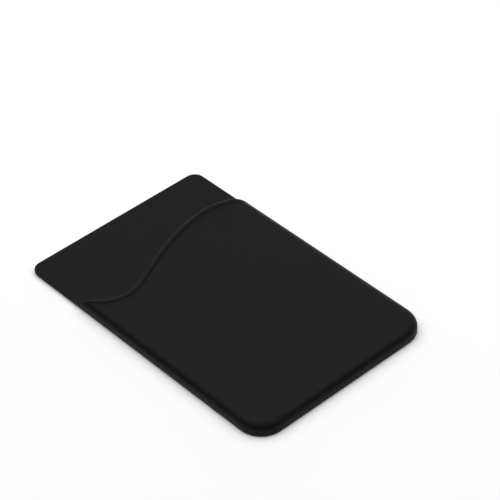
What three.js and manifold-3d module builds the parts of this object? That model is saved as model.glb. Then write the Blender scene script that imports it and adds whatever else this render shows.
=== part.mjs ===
// A stick-on silicone card pocket for the back of a phone, in millimetres.
// It lies on its adhesive back: +X across the width, +Y towards the mouth, +Z up. The origin is
// the middle of the footprint, on the surface that it lies on.

import * as THREE from "three";
import { mergeVertices } from "three/addons/utils/BufferGeometryUtils.js";
import Module from "manifold-3d";

// Back plate: the flat base of the moulding, as long as a card.
const PLATE_WIDTH = 56.5;
const PLATE_LENGTH = 87;
const PLATE_THICKNESS = 1.1;
const PLATE_EDGE_ROUND = 0.3;
const CLOSED_CORNER_RADIUS = 6.8;
const OPEN_CORNER_RADIUS = 3;

// Front cover: on three sides of the plate a low wall rolls over into the panel.
const COVER_HEIGHT = 3.6;
const WALL_RISE = 0.2;
const ROLL_WIDTH = 2.4;
const CROWN_RISE = 0.25;

// Slot behind the panel, open at the mouth.
const PANEL_THICKNESS = 0.9;
const SIDE_WALL = 0.85;
const END_WALL = 1.6;
const SLOT_CORNER_RADIUS = 4.5;
const SLOT_ROOF_ROUND = 1.4;

// Mouth: an S-shaped lip. Its levels are measured from the closed end, along its middle line.
const TIP_LEVEL = 65.4;
const DIP_LEVEL = 59.3;
const CREST_LEVEL = 70.2;
const SHOULDER_LEVEL = 64.6;
const DIP_FROM_SIDE = 10.5;
const CREST_FROM_SIDE = 11.3;
const DIP_REACH = 5;
const CREST_REACH = 14.5;
const TURN_REACH = 6.5;
const END_RUN = 0.8;
const END_DROP = 2.5;

// Bead: the lip's raised rim, which runs out over the rolled sides.
const BEAD_WIDTH = 1.45;
const BEAD_RISE = 0.45;
const BEAD_ROOF_GAP = 0.05;
const BEAD_RUN_OUT = 4;

// Adhesive pad in its shallow seat under the plate, and the film that covers it.
const PAD_MARGIN = 3.5;
const PAD_THICKNESS = 0.3;
const PAD_CORNER_RADIUS = 4;
const PAD_SEAT_DEPTH = 0.2;
const PAD_SEAT_CLEARANCE = 0.3;
const LINER_THICKNESS = 0.1;

// Fineness of the curved faces.
const CORNER_STEPS = 12;
const EDGE_STEPS = 3;
const ROLL_STEPS = 8;
const CROWN_STEPS = 6;
const ROOF_ROUND_STEPS = 4;
const MOUTH_STEPS = 24;
const MOUTH_HALVINGS = 40;
const BEAD_SIDES = 14;

// The crown's last ring stays so far from the middle line, where its two sides would meet.
const CROWN_CORE = 1;

// How far a cutting shape reaches past what it cuts.
const OVERCUT = 10;

// Places across the width that lie closer together than this count as one.
const SAME_PLACE = 1e-6;

const SILICONE_BLACK = 0x242424;
const SILICONE_ROUGHNESS = 0.55;
const PAD_GREY = 0x5b5d60;
const PAD_ROUGHNESS = 0.7;
const LINER_WHITE = 0xe6e4dc;
const LINER_ROUGHNESS = 0.45;

const wasm = await Module();
wasm.setup();

const HALF_WIDTH = PLATE_WIDTH / 2;
const HALF_LENGTH = PLATE_LENGTH / 2;
const ROLL_START = PLATE_THICKNESS + WALL_RISE;
const ROLL_HEIGHT = COVER_HEIGHT - ROLL_START;
const SLOT_ROOF = COVER_HEIGHT - PANEL_THICKNESS;
const PAD_WIDTH = PLATE_WIDTH - 2 * PAD_MARGIN;
const PAD_LENGTH = PLATE_LENGTH - 2 * PAD_MARGIN;

function toSolid(geometry) {
  const bare = geometry.clone();
  bare.deleteAttribute("normal");
  bare.deleteAttribute("uv");
  const merged = mergeVertices(bare);
  const vertProperties = new Float32Array(merged.attributes.position.array);
  const triVerts = new Uint32Array(merged.index.array);
  return new wasm.Manifold(new wasm.Mesh({ numProp: 3, vertProperties, triVerts }));
}

function toGeometry(solid) {
  const mesh = solid.getMesh();
  const geometry = new THREE.BufferGeometry();
  geometry.setAttribute("position", new THREE.BufferAttribute(mesh.vertProperties, 3));
  geometry.setIndex(new THREE.BufferAttribute(mesh.triVerts, 1));
  geometry.computeVertexNormals();
  return geometry;
}

// A closed skin through rings of as many points each, with a fan over the first and the last.
// The rings turn anticlockwise seen from the side that the last one is on.
function loft(rings) {
  const sides = rings[0].length;
  const points = rings.flat();
  const index = [];
  for (let level = 0; level < rings.length - 1; level += 1) {
    for (let side = 0; side < sides; side += 1) {
      const next = (side + 1) % sides;
      const low = level * sides;
      const high = low + sides;
      index.push(low + side, low + next, high + next);
      index.push(low + side, high + next, high + side);
    }
  }
  for (const level of [0, rings.length - 1]) {
    const middle = new THREE.Vector3();
    rings[level].forEach((point) => middle.addScaledVector(point, 1 / sides));
    points.push(middle);
    for (let side = 0; side < sides; side += 1) {
      const edge = [level * sides + side, level * sides + ((side + 1) % sides)];
      index.push(points.length - 1, ...(level === 0 ? edge.reverse() : edge));
    }
  }
  const geometry = new THREE.BufferGeometry().setFromPoints(points);
  geometry.setIndex(index);
  return geometry;
}

// One level outline: a rectangle with its own corner radius at the closed and the open end.
function outline({ halfWidth, closedEnd, openEnd, closedRadius, openRadius, z }) {
  const corners = [
    [halfWidth - closedRadius, closedEnd + closedRadius, closedRadius, -Math.PI / 2],
    [halfWidth - openRadius, openEnd - openRadius, openRadius, 0],
    [openRadius - halfWidth, openEnd - openRadius, openRadius, Math.PI / 2],
    [closedRadius - halfWidth, closedEnd + closedRadius, closedRadius, Math.PI],
  ];
  return corners.flatMap(([x, y, radius, start]) =>
    new THREE.EllipseCurve(x, y, radius, radius, start, start + Math.PI / 2)
      .getPoints(CORNER_STEPS)
      .map((point) => new THREE.Vector3(point.x, point.y, z)),
  );
}

// The plate's outline moved inwards. Its corners stay concentric as far as the roll goes, and
// then shrink evenly towards the middle of the panel.
function insetOutline(inset, z) {
  const shrink = 1 - panelShare(inset);
  const radius = (full) => (full - Math.min(inset, ROLL_WIDTH)) * shrink;
  return outline({
    halfWidth: HALF_WIDTH - inset,
    closedEnd: inset - HALF_LENGTH,
    openEnd: HALF_LENGTH - inset,
    closedRadius: radius(CLOSED_CORNER_RADIUS),
    openRadius: radius(OPEN_CORNER_RADIUS),
    z,
  });
}

// How far across the panel an inset lies: 0 at the end of the roll, 1 on the middle line.
function panelShare(inset) {
  return Math.max(0, inset - ROLL_WIDTH) / (HALF_WIDTH - ROLL_WIDTH);
}

// Height that the crown adds at an inset from the plate's outline.
function crown(inset) {
  return CROWN_RISE * (1 - (1 - panelShare(inset)) ** 2);
}

// Insets of the rings that shape the crown, from the roll nearly to the middle line.
function crownInsets(start) {
  const step = (HALF_WIDTH - CROWN_CORE - start) / CROWN_STEPS;
  return Array.from({ length: CROWN_STEPS }, (_, k) => start + step * (k + 1));
}

// Quarter turns, from a standing wall (0) to a level face (a right angle).
function quarterTurns(steps) {
  return Array.from({ length: steps + 1 }, (_, k) => (k * Math.PI) / 2 / steps);
}

// The back plate, with both of its edges rounded.
function plateGeometry() {
  const turns = quarterTurns(EDGE_STEPS);
  const inset = (turn) => PLATE_EDGE_ROUND * (1 - Math.cos(turn));
  const height = (turn) => PLATE_EDGE_ROUND * (1 - Math.sin(turn));
  const lower = turns.toReversed().map((turn) => insetOutline(inset(turn), height(turn)));
  const upper = turns.map((turn) => insetOutline(inset(turn), PLATE_THICKNESS - height(turn)));
  return loft([...lower, ...upper]);
}

// The cover before its mouth is cut: it starts inside the plate, stands up as the wall, rolls
// over as a quarter ellipse and ends in the crowned panel.
function coverGeometry() {
  const roll = quarterTurns(ROLL_STEPS).map((turn) =>
    insetOutline(ROLL_WIDTH * (1 - Math.cos(turn)), ROLL_START + ROLL_HEIGHT * Math.sin(turn)),
  );
  const panel = crownInsets(ROLL_WIDTH).map((inset) =>
    insetOutline(inset, COVER_HEIGHT + crown(inset)),
  );
  return loft([insetOutline(0, PLATE_THICKNESS / 2), ...roll, ...panel]);
}

// The space behind the panel, which runs on past the open end. It starts below the cover, so
// that it opens the cover down to the plate.
function slotGeometry() {
  const ring = (inset, z) => {
    const shrink = 1 - panelShare(SIDE_WALL + inset);
    return outline({
      halfWidth: HALF_WIDTH - SIDE_WALL - inset,
      closedEnd: END_WALL - HALF_LENGTH + inset,
      openEnd: HALF_LENGTH + HALF_WIDTH + OVERCUT - inset,
      closedRadius: (SLOT_CORNER_RADIUS - Math.min(inset, SLOT_ROOF_ROUND)) * shrink,
      openRadius: SLOT_CORNER_RADIUS * shrink,
      z,
    });
  };
  const shoulder = quarterTurns(ROOF_ROUND_STEPS).map((turn) =>
    ring(SLOT_ROOF_ROUND * (1 - Math.cos(turn)), SLOT_ROOF - SLOT_ROOF_ROUND * (1 - Math.sin(turn))),
  );
  const roof = crownInsets(SIDE_WALL + SLOT_ROOF_ROUND).map((inset) =>
    ring(inset - SIDE_WALL, SLOT_ROOF + crown(inset)),
  );
  return loft([ring(0, 0), ...shoulder, ...roof]);
}

// The lip's middle line seen from above: down from the tip on the left side to the dip, up
// across the panel to the crest, and down to the shoulder on the right side.
function mouthCurve() {
  const at = (x, level) => new THREE.Vector2(x, level - HALF_LENGTH);
  const dip = DIP_FROM_SIDE - HALF_WIDTH;
  const crest = HALF_WIDTH - CREST_FROM_SIDE;
  const curve = new THREE.CurvePath();
  curve.add(
    new THREE.CubicBezierCurve(
      at(-HALF_WIDTH, TIP_LEVEL),
      at(END_RUN - HALF_WIDTH, TIP_LEVEL - END_DROP),
      at(dip - TURN_REACH, DIP_LEVEL),
      at(dip, DIP_LEVEL),
    ),
  );
  curve.add(
    new THREE.CubicBezierCurve(
      at(dip, DIP_LEVEL),
      at(dip + DIP_REACH, DIP_LEVEL),
      at(crest - CREST_REACH, CREST_LEVEL),
      at(crest, CREST_LEVEL),
    ),
  );
  curve.add(
    new THREE.CubicBezierCurve(
      at(crest, CREST_LEVEL),
      at(crest + TURN_REACH, CREST_LEVEL),
      at(HALF_WIDTH - END_RUN, SHOULDER_LEVEL + END_DROP),
      at(HALF_WIDTH, SHOULDER_LEVEL),
    ),
  );
  return curve;
}

// The lip's place along Y at a place across the width, by halving the curve's own parameter.
function mouthAt(curve, x) {
  const piece = curve.curves.find((part) => x <= part.v3.x) ?? curve.curves.at(-1);
  let low = 0;
  let high = 1;
  for (let k = 0; k < MOUTH_HALVINGS; k += 1) {
    const middle = (low + high) / 2;
    if (piece.getPoint(middle).x < x) {
      low = middle;
    } else {
      high = middle;
    }
  }
  return piece.getPoint((low + high) / 2).y;
}

// Half of the cover's outer section at the mouth, from inside the plate up the wall, over the
// roll and on to the middle line: each place has its inset, height and outward turn.
function coverSection() {
  const wall = [PLATE_THICKNESS / 2, PLATE_THICKNESS].map((z) => ({ inset: 0, z, turn: 0 }));
  const roll = quarterTurns(ROLL_STEPS).map((turn) => ({
    inset: ROLL_WIDTH * (1 - Math.cos(turn)),
    z: ROLL_START + ROLL_HEIGHT * Math.sin(turn),
    turn: Math.atan2(ROLL_WIDTH * Math.sin(turn), ROLL_HEIGHT * Math.cos(turn)),
  }));
  const panel = Array.from({ length: MOUTH_STEPS }, (_, k) => {
    const inset = ROLL_WIDTH + ((HALF_WIDTH - ROLL_WIDTH) * (k + 1)) / MOUTH_STEPS;
    return { inset, z: COVER_HEIGHT + crown(inset), turn: Math.PI / 2 };
  });
  return [...wall, ...roll, ...panel];
}

// Middle line and half sizes of the bead, from the left side to the right. On the walls it is
// as thick as the wall, and on the panel it stands proud of the outer face only.
function beadStations(curve) {
  const beadHeight = PANEL_THICKNESS + BEAD_RISE - BEAD_ROOF_GAP;
  const half = coverSection().map(({ inset, z, turn }) => {
    const grown = THREE.MathUtils.smoothstep(inset, 0, BEAD_RUN_OUT);
    const halfHeight = THREE.MathUtils.lerp(SIDE_WALL, beadHeight, grown) / 2;
    const sink = halfHeight - BEAD_RISE * grown;
    return {
      x: inset - HALF_WIDTH + sink * Math.cos(turn),
      z: z - sink * Math.sin(turn),
      turn,
      halfHeight,
      halfWidth: THREE.MathUtils.lerp(SIDE_WALL, BEAD_WIDTH, grown) / 2,
    };
  });
  const mirrored = half
    .slice(0, -1)
    .reverse()
    .map((place) => ({ ...place, x: -place.x, turn: Math.PI - place.turn }));
  return [...half, ...mirrored].map(({ x, z, ...shape }) => ({
    ...shape,
    centre: new THREE.Vector3(x, mouthAt(curve, x), z),
  }));
}

// The bead: an ellipse square to its middle line at each station.
function beadGeometry(stations) {
  const rings = stations.map((place, k) => {
    const before = stations[Math.max(0, k - 1)].centre;
    const after = stations[Math.min(stations.length - 1, k + 1)].centre;
    const along = after.clone().sub(before).normalize();
    const outward = new THREE.Vector3(-Math.cos(place.turn), 0, Math.sin(place.turn));
    const across = along.clone().cross(outward).normalize();
    outward.crossVectors(across, along);
    return Array.from({ length: BEAD_SIDES }, (_, side) => {
      const angle = (2 * Math.PI * side) / BEAD_SIDES;
      return place.centre
        .clone()
        .addScaledVector(outward, place.halfHeight * Math.cos(angle))
        .addScaledVector(across, place.halfWidth * Math.sin(angle));
    });
  });
  return loft(rings);
}

// What the mouth takes off the cover: everything past the bead's middle line.
function mouthCutGeometry(stations) {
  const line = stations
    .map((place) => place.centre)
    .filter(({ x }, k, centres) => k === 0 || x > centres[k - 1].x + SAME_PLACE);
  const side = HALF_WIDTH + OVERCUT;
  const shape = new THREE.Shape();
  shape.moveTo(-side, line[0].y);
  line.forEach(({ x, y }) => shape.lineTo(x, y));
  shape.lineTo(side, line.at(-1).y);
  shape.lineTo(side, HALF_LENGTH + OVERCUT);
  shape.lineTo(-side, HALF_LENGTH + OVERCUT);
  return new THREE.ExtrudeGeometry(shape, { depth: COVER_HEIGHT + OVERCUT, bevelEnabled: false });
}

// A level slab with rounded corners, standing on z = 0.
function slabGeometry(width, length, radius, thickness) {
  const size = {
    halfWidth: width / 2,
    closedEnd: -length / 2,
    openEnd: length / 2,
    closedRadius: radius,
    openRadius: radius,
  };
  return loft([outline({ ...size, z: 0 }), outline({ ...size, z: thickness })]);
}

function plainMaterial(color, roughness) {
  return new THREE.MeshStandardMaterial({ color, roughness, metalness: 0 });
}

function siliconePocket() {
  const stations = beadStations(mouthCurve());
  const cover = toSolid(coverGeometry())
    .subtract(toSolid(slotGeometry()))
    .subtract(toSolid(mouthCutGeometry(stations)))
    .add(toSolid(beadGeometry(stations)));
  const seat = slabGeometry(
    PAD_WIDTH + 2 * PAD_SEAT_CLEARANCE,
    PAD_LENGTH + 2 * PAD_SEAT_CLEARANCE,
    PAD_CORNER_RADIUS + PAD_SEAT_CLEARANCE,
    PAD_SEAT_DEPTH + OVERCUT,
  );
  seat.translate(0, 0, -OVERCUT);
  const body = toSolid(plateGeometry()).add(cover).subtract(toSolid(seat));
  const mesh = new THREE.Mesh(toGeometry(body), plainMaterial(SILICONE_BLACK, SILICONE_ROUGHNESS));
  mesh.name = "silicone_pocket";
  mesh.position.z = LINER_THICKNESS + PAD_THICKNESS - PAD_SEAT_DEPTH;
  return mesh;
}

function adhesivePad() {
  const slab = slabGeometry(PAD_WIDTH, PAD_LENGTH, PAD_CORNER_RADIUS, PAD_THICKNESS);
  const mesh = new THREE.Mesh(slab, plainMaterial(PAD_GREY, PAD_ROUGHNESS));
  mesh.name = "adhesive_pad";
  mesh.position.z = LINER_THICKNESS;
  return mesh;
}

function releaseLiner() {
  const slab = slabGeometry(PAD_WIDTH, PAD_LENGTH, PAD_CORNER_RADIUS, LINER_THICKNESS);
  const mesh = new THREE.Mesh(slab, plainMaterial(LINER_WHITE, LINER_ROUGHNESS));
  mesh.name = "release_liner";
  return mesh;
}

const pocket = new THREE.Group();
pocket.add(siliconePocket(), adhesivePad(), releaseLiner());

export default pocket;
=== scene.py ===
# Stick-on silicone card pocket: its looks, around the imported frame. Lengths are in metres
# where the floor, lamps and camera are, and in millimetres where a piece says so.
from math import acos, atan2, cos, pi, radians, sin, sqrt

import bmesh
import bpy
from mathutils import Matrix, Vector
from mathutils.geometry import delaunay_2d_cdt


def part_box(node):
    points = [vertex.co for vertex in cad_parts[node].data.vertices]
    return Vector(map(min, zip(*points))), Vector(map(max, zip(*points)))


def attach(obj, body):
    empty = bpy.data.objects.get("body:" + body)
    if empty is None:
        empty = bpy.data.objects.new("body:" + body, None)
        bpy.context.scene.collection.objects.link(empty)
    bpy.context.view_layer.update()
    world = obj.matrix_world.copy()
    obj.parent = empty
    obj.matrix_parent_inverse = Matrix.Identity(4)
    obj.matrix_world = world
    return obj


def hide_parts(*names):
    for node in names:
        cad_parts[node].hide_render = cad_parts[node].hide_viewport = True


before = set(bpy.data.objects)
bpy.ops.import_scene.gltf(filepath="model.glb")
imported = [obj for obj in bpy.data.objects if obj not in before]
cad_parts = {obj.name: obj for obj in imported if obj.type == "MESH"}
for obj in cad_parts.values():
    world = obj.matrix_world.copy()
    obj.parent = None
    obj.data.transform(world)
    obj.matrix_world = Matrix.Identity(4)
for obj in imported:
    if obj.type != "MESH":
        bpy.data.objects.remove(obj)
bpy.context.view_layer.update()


# Camera: a long lens, looking down across the pocket from the low side of its mouth. It is
# turned a little about its own axis, as a camera held by hand is.
view_azimuth = radians(-40.82)
view_elevation = radians(40.41)
view_roll = radians(-2.53)
view_target = Vector((0.01756, 0.01005, 0))
view_distance = 0.5447
nearest_view = 0.01
lens_mm = 152
sensor_mm = 36

camera_data = bpy.data.cameras.new("camera")
camera_data.lens = lens_mm
camera_data.sensor_width = sensor_mm
camera_data.clip_start = nearest_view
camera =bpy.data.objects.new("camera", camera_data)
camera.matrix_world = (
    Matrix.Translation(view_target)
    @ Matrix.Rotation(view_azimuth, 4, "Z")
    @ Matrix.Rotation(pi / 2 - view_elevation, 4, "X")
    @ Matrix.Rotation(view_roll, 4, "Z")
    @ Matrix.Translation((0, 0, view_distance))
)
bpy.context.scene.collection.objects.link(camera)
bpy.context.scene.camera = camera
bpy.context.scene.view_settings.view_transform = "Standard"


# Studio light: a large softbox over the pocket gives the even top light and the soft shadow in
# front. A dim, low strip behind it draws the light rim along the far edge and the mouth's bead.
# The room around them is nearly dark.
def add_lamp(name, wide, tall, distance, azimuth, elevation, power):
    """A plain rectangular lamp that faces the middle of the floor."""
    data = bpy.data.lights.new(name, "AREA")
    data.shape = "RECTANGLE"
    data.size = wide
    data.size_y = tall
    data.energy = power
    lamp = bpy.data.objects.new(name, data)
    lamp.matrix_world = (
        Matrix.Rotation(azimuth, 4, "Z")
        @ Matrix.Rotation(pi / 2 - elevation, 4, "X")
        @ Matrix.Translation((0, 0, distance))
    )
    bpy.context.scene.collection.objects.link(lamp)


softbox_width = 2.8
softbox_depth = 1.7
softbox_distance = 1.0
softbox_azimuth = radians(139)
softbox_elevation = radians(82)
softbox_power = 24.2
strip_width = 1.6
strip_height = 0.4
strip_distance = 1.2
strip_azimuth = radians(135)
strip_elevation = radians(10)
strip_power = 2.5
room_strength = 0.08

add_lamp("softbox", softbox_width, softbox_depth, softbox_distance, softbox_azimuth,
         softbox_elevation, softbox_power)
add_lamp("strip", strip_width, strip_height, strip_distance, strip_azimuth, strip_elevation,
         strip_power)

room = bpy.data.worlds.new("room")
room.use_nodes = True
room.node_tree.nodes["Background"].inputs["Color"].default_value = (1, 1, 1, 1)
room.node_tree.nodes["Background"].inputs["Strength"].default_value = room_strength
bpy.context.scene.world = room


# Floor: a white sheet of matt board, far larger than the view. It is flat and keeps only the
# pocket's soft shadow.
class Socket:
    """A socket in a material's node tree. Arithmetic on it adds Math nodes to that tree."""

    def __init__(self, tree, link=None):
        self.tree = tree
        self.link = link

    def add(self, kind, settings=None, sockets=None, output=0):
        """Adds a node: its type, then its settings, then its sockets' values or links."""
        node = self.tree.nodes.new("ShaderNode" + kind)
        for name, value in (settings or {}).items():
            setattr(node, name, value)
        for name, value in (sockets or {}).items():
            if isinstance(value, Socket):
                self.tree.links.new(node.inputs[name], value.link)
            else:
                node.inputs[name].default_value = value
        return Socket(self.tree, node.outputs[output])

    def __add__(self, other):
        return self.add("Math", {"operation": "ADD"}, {0: self, 1: other})

    __radd__ = __add__

    def __mul__(self, other):
        return self.add("Math", {"operation": "MULTIPLY"}, {0: self, 1: other})

    __rmul__ = __mul__


def finish_material(name, constants):
    """A new Principled material with those constants on its own sockets, and its tree."""
    material = bpy.data.materials.new(name)
    material.use_nodes = True
    shader = material.node_tree.nodes["Principled BSDF"]
    for socket, value in constants.items():
        shader.inputs[socket].default_value = value
    return material, shader, Socket(material.node_tree)


MM = 0.001


def grain(tree, per_mm, detail=2):
    """Noise around 0.5 that is fixed to the piece, with so many grains per millimetre."""
    place = tree.add("TexCoord", output="Object")
    return tree.add("TexNoise", None, {"Vector": place, "Scale": per_mm / MM, "Detail": detail})


def blend_colour(tree, share, first, second):
    """One colour turning into another by a share from 0 to 1."""
    return tree.add(
        "Mix",
        {"data_type": "RGBA"},
        {"Factor": share, "A": (*first, 1), "B": (*second, 1)},
        output="Result",
    )


def wire(shader, links):
    """Links the sockets that change over the surface to the shader."""
    for socket, value in links.items():
        value.tree.links.new(shader.inputs[socket], value.link)


board_size = 6
board_light = (0.99, 0.99, 0.99)
board_dull = (0.965, 0.965, 0.965)
board_sheen = 0.1
board_roughness = 0.85
board_tooth = 0.1
board_patches_per_mm = 0.02
board_tooth_per_mm = 0.5

half_board = board_size / 2
board_corners = [(-half_board, -half_board, 0), (half_board, -half_board, 0),
                 (half_board, half_board, 0), (-half_board, half_board, 0)]
board_mesh = bpy.data.meshes.new("board")
board_mesh.from_pydata(board_corners, [], [(0, 1, 2, 3)])
board = bpy.data.objects.new("board", board_mesh)
bpy.context.scene.collection.objects.link(board)
material, shader, tree = finish_material("matt_board", {"Specular IOR Level": board_sheen})
patches = grain(tree, board_patches_per_mm)
wire(shader, {
    "Base Color": blend_colour(tree, patches, board_light, board_dull),
    "Roughness": board_roughness + board_tooth * grain(tree, board_tooth_per_mm),
})
board_mesh.materials.append(material)


# Silicone pocket: one soft moulding of matt black silicone. A flat back plate carries a wall
# on three sides, which rolls over into the front panel; the panel ends in an S-shaped lip
# with a raised bead, and the slot behind it is open. Sizes in millimetres.
low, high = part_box("silicone_pocket")
half_width = high.x / MM
half_length = high.y / MM
plate_bottom = low.z / MM
bead_rise = 0.45
crown_rise = 0.25
cover_height = (high.z - low.z) / MM - crown_rise - bead_rise
plate_thickness = 1.1
plate_edge_round = 0.3
edge_fade_start = 1.0
edge_fade = 3.0
closed_corner_radius = 6.8
open_corner_radius = 3.0
wall_rise = 0.2
roll_start = plate_thickness + wall_rise
roll_height = cover_height - roll_start
roll_width = 2.4
side_wall = 0.85
end_wall = 1.6
panel_thickness = 0.9
slot_corner_radius = 4.5
slot_roof_round = 1.4
slot_roof = cover_height - panel_thickness
bead_width = 1.7
bead_run_out = 4.0
bead_fillet = 0.08
least_fillet = 0.001
lip_reach = 1.35
seat_margin = 3.2
seat_corner_radius = 4.3
seat_depth = 0.2

# How finely the mesh follows those sizes.
wall_steps = 2
roll_steps = 10
corner_steps = 10
panel_steps = 64
arm_steps = 36
bead_steps = 10
nose_steps = 16
edge_steps = 4
plate_side_steps = 24
mouth_halvings = 40
fill_spacing = 4
weld_distance = 0.002
fill_tolerance = weld_distance / 10
fill_inside_only = 1
sharp_edge = radians(40)

# The lip's middle line from above: from its tip at the left side it runs down to a dip, up to
# a crest, and over to the shoulder at the right side. It is three cubic curves, with places
# across the width from the left side, and levels along the length from the closed end.
tip_level = 67.6
tip_run = 0.7
tip_drop = 3.3
dip_level = 59
dip_from_side = 10.5
dip_lead = 7.5
dip_reach = 5
crest_level = 69.9
crest_from_side = 11.3
crest_reach = 14.5
turn_reach = 6.5
shoulder_level = 64.4
shoulder_run = 0.8
shoulder_drop = 2.5
right_side = 2 * half_width
crest_place = right_side - crest_from_side
mouth_points = [
    [(0, tip_level), (tip_run, tip_level - tip_drop),
     (dip_from_side - dip_lead, dip_level), (dip_from_side, dip_level)],
    [(dip_from_side, dip_level), (dip_from_side + dip_reach, dip_level),
     (crest_place - crest_reach, crest_level), (crest_place, crest_level)],
    [(crest_place, crest_level), (crest_place + turn_reach, crest_level),
     (right_side - shoulder_run, shoulder_level + shoulder_drop), (right_side, shoulder_level)],
]


def on_cubic(points, share):
    """A cubic curve's point at a share of its parameter."""
    rest = 1 - share
    weights = (rest**3, 3 * rest**2 * share, 3 * rest * share**2, share**3)
    return [sum(w * point[axis] for w, point in zip(weights, points)) for axis in (0, 1)]


def mouth_at(x):
    """The lip's place along the length, at a place across the width."""
    across = x + half_width
    piece = next((part for part in mouth_points if across <= part[3][0]), mouth_points[-1])
    start, end = 0, 1
    for _ in range(mouth_halvings):
        middle = (start + end) / 2
        if on_cubic(piece, middle)[0] < across:
            start = middle
        else:
            end = middle
    return on_cubic(piece, start)[1] - half_length


def ease(value):
    """A smooth step from 0 to 1."""
    value = min(1, max(0, value))
    return value * value * (3 - 2 * value)


def crown(x, y):
    """How far the panel's middle stands above its sides."""
    half_span = half_width - roll_width
    along = min(1, (y + half_length - roll_width) / half_span)
    return crown_rise * (1 - (x / half_span) ** 2) * (1 - (1 - along) ** 2)


def soft_top(first, second, blend):
    """The larger of two heights, with a fillet where they meet."""
    near = max(0, blend - abs(first - second)) / blend
    return max(first, second) + near * near * blend / 4


def quarter(steps):
    """Quarter turn from a standing wall to a level face."""
    return [k * pi / 2 / steps for k in range(steps + 1)]


# Each level of the wall and the roll: how far it lies inside the outline, its height and, on
# the outer skin, the turn of its face. The slot has a level for each one of the outer skin.
outer_levels = [(0, plate_thickness + (roll_start - plate_thickness) * k / wall_steps, 0)
                for k in range(wall_steps)]
outer_levels += [
    (roll_width * (1 - cos(t)), roll_start + roll_height * sin(t),
     atan2(roll_width * sin(t), roll_height * cos(t)))
    for t in quarter(roll_steps)
]
slot_shoulder = slot_roof - slot_roof_round
slot_levels = [(side_wall, plate_thickness + (slot_shoulder - plate_thickness) * k / wall_steps)
               for k in range(wall_steps)]
slot_levels += [
    (side_wall + slot_roof_round * (1 - cos(t)), slot_shoulder + slot_roof_round * sin(t))
    for t in quarter(roll_steps)
]

# Places of the panel's columns: closer together over the corners, as the corners turn.
panel_half = half_width - roll_width
panel_radius = closed_corner_radius - roll_width
corner_columns = [-panel_half + panel_radius * (1 - cos(t)) for t in quarter(corner_steps)]
straight = panel_half - panel_radius
middle_columns = [straight * (2 * k / panel_steps - 1) for k in range(1, panel_steps)]
columns = corner_columns + middle_columns + [-x for x in reversed(corner_columns)]


def closed_end(inset, end_inset, radius, core, z):
    """A level's points round the closed end, one under each column of the panel."""
    points = []
    for x in columns:
        x *= core["half"] / panel_half
        beyond = abs(x) - core["straight"]
        side = 1 if x > 0 else -1
        if beyond > 0:
            turn = acos(min(1, beyond / core["radius"]))
            points.append((side * (core["straight"] + radius * cos(turn)),
                           end_inset - half_length + radius * (1 - sin(turn)), z))
        else:
            points.append((x, end_inset - half_length, z))
    return points


outer_core = {"half": panel_half, "straight": straight, "radius": panel_radius}
slot_half = half_width - side_wall - slot_roof_round
slot_radius = slot_corner_radius - slot_roof_round
slot_core = {"half": slot_half, "straight": slot_half - slot_radius, "radius": slot_radius}


def lip_stations():
    """The lip's sections, from the left wall's foot over the panel to the right wall's foot.

    Each has its places on the outer skin and in the slot, the way that its face looks and how
    far inside the outline it lies. From these come the bead's size there, the section's place
    along the length, and how squarely the lip crosses it.
    """
    left = []
    for (inset, z, turn), (slot_inset, slot_z) in zip(outer_levels, slot_levels):
        left.append({"outer": (inset - half_width, z), "inner": (slot_inset - half_width, slot_z),
                     "face": (-cos(turn), sin(turn)), "inset": inset})
    panel = []
    for x in columns[1:-1]:
        rise = crown(x, 0)
        panel.append({"outer": (x, cover_height + rise),
                      "inner": (x * slot_half / panel_half, slot_roof + rise),
                      "face": (0, 1), "inset": half_width - abs(x)})
    right = [{"outer": (-place["outer"][0], place["outer"][1]),
              "inner": (-place["inner"][0], place["inner"][1]),
              "face": (-place["face"][0], place["face"][1]), "inset": place["inset"]}
             for place in reversed(left)]
    stations = left + panel + right
    for place in stations:
        place["grown"] = ease(place["inset"] / bead_run_out)
        place["thick"] = sqrt(sum((a - b) ** 2 for a, b in zip(place["outer"], place["inner"])))
        place["half_wide"] = (side_wall + (bead_width - side_wall) * place["grown"]) / 2
        place["half_high"] = (place["thick"] + bead_rise * place["grown"]) / 2
        place["deep"] = place["thick"] - place["half_high"]
        place["y"] = mouth_at(place["outer"][0] - place["face"][0] * place["deep"])
    for k, place in enumerate(stations):
        before, after = stations[max(0, k - 1)], stations[min(len(stations) - 1, k + 1)]
        run = after["y"] - before["y"]
        span = sqrt(run**2 + sum((a - b) ** 2 for a, b in zip(after["outer"], before["outer"])))
        place["square"] = sqrt(1 - (run / span) ** 2)
    return stations


def lip_profile(place):
    """The lip's own section at a station, from the panel over the bead to the slot's roof.

    It starts on the panel, lip_reach half widths behind the bead's middle. A fillet leads from
    there into the bead's upper half, and the rest is the bead's round nose.
    """
    wide, tall, deep = place["half_wide"], place["half_high"], place["deep"]
    fillet = bead_fillet * place["grown"] + least_fillet
    steps = [(lip_reach * wide, 0)]
    for k in range(bead_steps + 1):
        turn = k * pi / 2 / bead_steps
        height = tall * sin(turn) - deep
        steps.append((wide * cos(turn), soft_top(height, 0, fillet)))
    for k in range(1, nose_steps + 1):
        turn = pi / 2 + k * pi / nose_steps
        steps.append((wide * cos(turn), tall * sin(turn) - deep))
    steps.append((wide, -place["thick"]))
    points = []
    for back, height in steps:
        if height > 0:
            x, z = [a + height * out for a, out in zip(place["outer"], place["face"])]
        else:
            share = -height / place["thick"]
            x, z = [a + (b - a) * share for a, b in zip(place["outer"], place["inner"])]
        points.append((x, place["y"] - back / place["square"], z))
    return points


def add_sheet(mesh, rows, closed=False):
    """Adds four-sided faces through rows of as many points each."""
    grid = [[mesh.verts.new(point) for point in row] for row in rows]
    for near, far in zip(grid, grid[1:]):
        pairs = list(zip(near, far))
        pairs += pairs[:1] if closed else []
        for (a, d), (b, c) in zip(pairs, pairs[1:]):
            mesh.faces.new((a, b, c, d))


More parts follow.
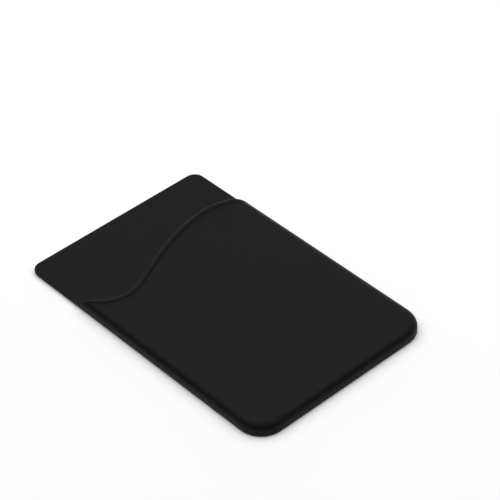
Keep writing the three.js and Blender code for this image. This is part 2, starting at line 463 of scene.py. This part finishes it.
def add_level(mesh, loop):
    """Fills a level outline with triangles over an even grid of points."""
    height = loop[0][2]
    outline = [Vector(point[:2]) for point, last in zip(loop, loop[-1:] + loop[:-1])
               if (Vector(point) - Vector(last)).length > weld_distance]
    last_mark = int(max(point.length for point in outline) / fill_spacing)
    marks = range(-last_mark, last_mark + 1)
    grid = [Vector((x * fill_spacing, y * fill_spacing)) for x in marks for y in marks]
    loop_face = [list(range(len(outline)))]
    points, _, faces, *_ = delaunay_2d_cdt(
        outline + grid, [], loop_face, fill_inside_only, fill_tolerance
    )
    corners = {k: mesh.verts.new((*points[k], height)) for k in sorted(set(sum(faces, [])))}
    for face in faces:
        mesh.faces.new([corners[k] for k in face])


def arm(foot, top):
    """The points of a level's straight side, from its foot to its top."""
    return [tuple(a + (b - a) * k / arm_steps for a, b in zip(foot, top))
            for k in range(arm_steps + 1)]


def skin_rows(levels, core, corner_radius, end_extra, tops):
    """Rows of a skin round the closed end: each level's left arm, end and right arm."""
    rows = []
    for (inset, z, *_), (left_top, right_top) in zip(levels, tops):
        radius = corner_radius - (inset - levels[0][0])
        end = closed_end(inset, inset + end_extra, radius, core, z)
        left = arm(end[0], left_top)[::-1]
        right = arm(end[-1], right_top)
        rows.append(left[:-1] + end + right[1:])
    return rows


def panel_rows(feet, tops, base):
    """Rows of the panel, or of the slot's roof, from the closed end to the lip."""
    rows = []
    for k in range(arm_steps + 1):
        share = k / arm_steps
        row = []
        for foot, top in zip(feet, tops):
            x = foot[0] + (top[0] - foot[0]) * share
            y = foot[1] + (top[1] - foot[1]) * share
            if k == arm_steps:
                z = top[2]
            elif k == 0 or foot is feet[0] or foot is feet[-1]:
                z = foot[2]
            else:
                z = base + crown(x, y)
            row.append((x, y, z))
        rows.append(row)
    return rows


def outward(x, y):
    """The plate outline's outward direction at a point of it."""
    radius = closed_corner_radius if y < 0 else open_corner_radius
    across = x - min(half_width - radius, max(radius - half_width, x))
    along = y - min(half_length - radius, max(radius - half_length, y))
    length = sqrt(across**2 + along**2)
    return across / length, along / length


def seat_point(x, y, z):
    """The point of the pad's seat that lies nearest to a point of the plate's outline."""
    half_x = half_width - seat_margin - seat_corner_radius
    half_y = half_length - seat_margin - seat_corner_radius
    core_x, core_y = min(half_x, max(-half_x, x)), min(half_y, max(-half_y, y))
    reach = seat_corner_radius / sqrt((x - core_x) ** 2 + (y - core_y) ** 2)
    return core_x + (x - core_x) * reach, core_y + (y - core_y) * reach, z


def open_edge(left_y, right_y):
    """The plate's outline round its open end, with the share of the edge round at each point."""
    radius = open_corner_radius
    top = half_length - radius
    left = [(-half_width, left_y + (top - left_y) * k / plate_side_steps)
            for k in range(plate_side_steps)]
    right = [(half_width, top + (right_y - top) * k / plate_side_steps)
             for k in range(1, plate_side_steps + 1)]
    left_corner = [(-half_width + radius * (1 - cos(t)), top + radius * sin(t))
                   for t in quarter(corner_steps)]
    right_corner = [(-x, y) for x, y in reversed(left_corner)]
    points = left + left_corner + right_corner + right
    return [(x, y, ease((y - (left_y if x < 0 else right_y) - edge_fade_start) / edge_fade))
            for x, y in points]


def pocket_mesh():
    """The moulding's closed mesh: skin, slot, panel and lip, then the plate and its back."""
    mesh = bmesh.new()
    stations = lip_stations()
    lip = [lip_profile(place) for place in stations]
    count = len(outer_levels)
    tops = [(lip[k][0], lip[-1 - k][0]) for k in range(count)]
    slot_tops = [(lip[k][-1], lip[-1 - k][-1]) for k in range(count)]
    skin = skin_rows(outer_levels, outer_core, closed_corner_radius, 0, tops)
    slot = skin_rows(slot_levels, slot_core, slot_corner_radius, end_wall - side_wall, slot_tops)
    panel_lip = lip[count - 1 : len(lip) - count + 1]
    feet = slice(arm_steps, arm_steps + len(columns))
    add_sheet(mesh, skin)
    add_sheet(mesh, slot)
    add_sheet(mesh, panel_rows(skin[-1][feet], [row[0] for row in panel_lip], cover_height))
    add_sheet(mesh, panel_rows(slot[-1][feet], [row[-1] for row in panel_lip], slot_roof))
    add_sheet(mesh, lip)

    # The plate's free edge starts where the lip's section is outermost, at each wall's foot.
    # Its upper round grows from there, and the slot's floor runs on between the two sides.
    crest = bead_steps + 1
    edge = open_edge(lip[0][crest][1], lip[-1][crest][1])
    rounding = [
        [(x - outward(x, y)[0] * fade * plate_edge_round * (1 - cos(t)),
          y - outward(x, y)[1] * fade * plate_edge_round * (1 - cos(t)),
          plate_thickness - fade * plate_edge_round * (1 - sin(t)))
         for x, y, fade in edge]
        for t in quarter(edge_steps)
    ]
    add_sheet(mesh, rounding)
    add_level(mesh, slot[0] + lip[-1][:crest:-1] + rounding[-1][::-1] + lip[0][crest + 1 :])

    # Under it the plate's rim goes all the way round, then its lower round, the flat border of
    # the back, and the seat for the pad.
    rim = skin[0] + lip[-1][1:crest] + rounding[0][::-1] + lip[0][crest - 1 : 0 : -1]
    rows = [rim]
    for t in quarter(edge_steps):
        inset, z = plate_edge_round * (1 - cos(t)), plate_edge_round * (1 - sin(t))
        rows.append([(x - outward(x, y)[0] * inset, y - outward(x, y)[1] * inset, z)
                     for x, y, _ in rim])
    rows.append([seat_point(x, y, 0) for x, y, _ in rim])
    rows.append([seat_point(x, y, seat_depth) for x, y, _ in rim])
    add_sheet(mesh, rows, closed=True)
    add_level(mesh, rows[-1])
    return mesh


def make_piece(name, mesh, lift):
    """A piece from its mesh in millimetres: welded, lifted and turned into metres."""
    bmesh.ops.remove_doubles(mesh, verts=mesh.verts, dist=weld_distance)
    bmesh.ops.recalc_face_normals(mesh, faces=mesh.faces)
    for edge in mesh.edges:
        edge.smooth = edge.calc_face_angle(pi) < sharp_edge
    for face in mesh.faces:
        face.smooth = True
    bmesh.ops.translate(mesh, verts=mesh.verts, vec=(0, 0, lift))
    bmesh.ops.scale(mesh, verts=mesh.verts, vec=(MM, MM, MM))
    data = bpy.data.meshes.new(name)
    mesh.to_mesh(data)
    mesh.free()
    piece = bpy.data.objects.new(name, data)
    bpy.context.scene.collection.objects.link(piece)
    normals = piece.modifiers.new("even_normals", "WEIGHTED_NORMAL")
    normals.keep_sharp = True
    return piece


def fine_relief(tree, height, strength, depth):
    """The tiny bumps of a finish, with their depth in millimetres."""
    return tree.add("Bump", None, {"Height": height, "Strength": strength, "Distance": depth * MM},
                    output="Normal")


silicone_black = (0.0032, 0.0032, 0.0032)
silicone_bloom = (0.0038, 0.0037, 0.0037)
silicone_index = 1.41
silicone_sheen = 0.155
silicone_roughness = 0.42
bloom_roughness = 0.08
skin_roughness = 0.04
bloom_per_mm = 0.06
skin_per_mm = 2.5
pores_per_mm = 9
ripples_per_mm = 1.2
pores_share = 0.7
ripples_share = 0.3
silicone_relief = 0.35
silicone_relief_depth = 0.01

pocket = make_piece("pocket_moulding", pocket_mesh(), plate_bottom)
material, shader, tree = finish_material(
    "matt_silicone", {"IOR": silicone_index, "Specular IOR Level": silicone_sheen}
)
bloom = grain(tree, bloom_per_mm, detail=3)
skin = grain(tree, skin_per_mm)
pores = grain(tree, pores_per_mm, detail=1)
ripples = grain(tree, ripples_per_mm)
relief = pores_share * pores + ripples_share * ripples
wire(shader, {
    "Base Color": blend_colour(tree, bloom, silicone_black, silicone_bloom),
    "Roughness": silicone_roughness + bloom_roughness * bloom + skin_roughness * skin,
    "Normal": fine_relief(tree, relief, silicone_relief, silicone_relief_depth),
})
pocket.data.materials.append(material)
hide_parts("silicone_pocket")
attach(pocket, "root")


# Adhesive pad: a die-cut sheet of dark grey double-sided foam tape, pressed into the shallow
# seat in the plate. Its cut edge is a little soft.
def slab_mesh(node, corner_radius, edge_round):
    """A flat sheet with round corners and soft edges, in the place of a CAD node."""
    low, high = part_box(node)
    half_x, half_y, thickness = high.x / MM, high.y / MM, (high.z - low.z) / MM

    def ring(inset, z):
        """The sheet's outline at one height, drawn in by an inset."""
        radius = corner_radius - inset
        corners = [(1, 1), (-1, 1), (-1, -1), (1, -1)]
        points = []
        for corner, (right, up) in enumerate(corners):
            for t in quarter(corner_steps):
                turn = t + corner * pi / 2
                points.append((right * (half_x - corner_radius) + radius * cos(turn),
                               up * (half_y - corner_radius) + radius * sin(turn), z))
        return points

    turns = quarter(edge_steps)
    lower = [ring(edge_round * (1 - cos(t)), edge_round * (1 - sin(t))) for t in reversed(turns)]
    upper = [ring(edge_round * (1 - cos(t)), thickness - edge_round * (1 - sin(t))) for t in turns]
    mesh = bmesh.new()
    add_sheet(mesh, lower + upper, closed=True)
    add_level(mesh, lower[0])
    add_level(mesh, upper[-1])
    return mesh


pad_corner_radius = 4
pad_edge_round = 0.08
foam_grey = (0.095, 0.1, 0.11)
foam_dark = (0.06, 0.063, 0.07)
foam_sheen = 0.3
foam_roughness = 0.65
glue_roughness = 0.15
cells_per_mm = 7
glue_per_mm = 3
foam_relief = 0.5
foam_relief_depth = 0.03

pad = make_piece("foam_pad", slab_mesh("adhesive_pad", pad_corner_radius, pad_edge_round),
                 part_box("adhesive_pad")[0].z / MM)
material, shader, tree = finish_material("foam_tape", {"Specular IOR Level": foam_sheen})
place = tree.add("TexCoord", output="Object")
cells = tree.add("TexVoronoi", {"feature": "F1"}, {"Vector": place, "Scale": cells_per_mm / MM})
wire(shader, {
    "Base Color": blend_colour(tree, cells, foam_dark, foam_grey),
    "Roughness": foam_roughness + glue_roughness * grain(tree, glue_per_mm),
    "Normal": fine_relief(tree, cells, foam_relief, foam_relief_depth),
})
pad.data.materials.append(material)
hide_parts("adhesive_pad")
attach(pad, "root")


# Release liner: a thin off-white film that covers the pad until the pocket is stuck on. It is
# cut flush with the pad, and the pocket lies on it.
liner_edge_round = 0.02
film_white = (0.8, 0.79, 0.74)
film_cream = (0.76, 0.745, 0.69)
film_sheen = 0.5
film_roughness = 0.3
fibre_roughness = 0.1
fibres_per_mm = 0.8
film_relief = 0.2
film_relief_depth = 0.01

liner = make_piece("film_liner", slab_mesh("release_liner", pad_corner_radius, liner_edge_round),
                   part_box("release_liner")[0].z / MM)
material, shader, tree = finish_material("release_film", {"Specular IOR Level": film_sheen})
fibres = grain(tree, fibres_per_mm, detail=4)
wire(shader, {
    "Base Color": blend_colour(tree, fibres, film_white, film_cream),
    "Roughness": film_roughness + fibre_roughness * fibres,
    "Normal": fine_relief(tree, fibres, film_relief, film_relief_depth),
})
liner.data.materials.append(material)
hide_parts("release_liner")
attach(liner, "root")
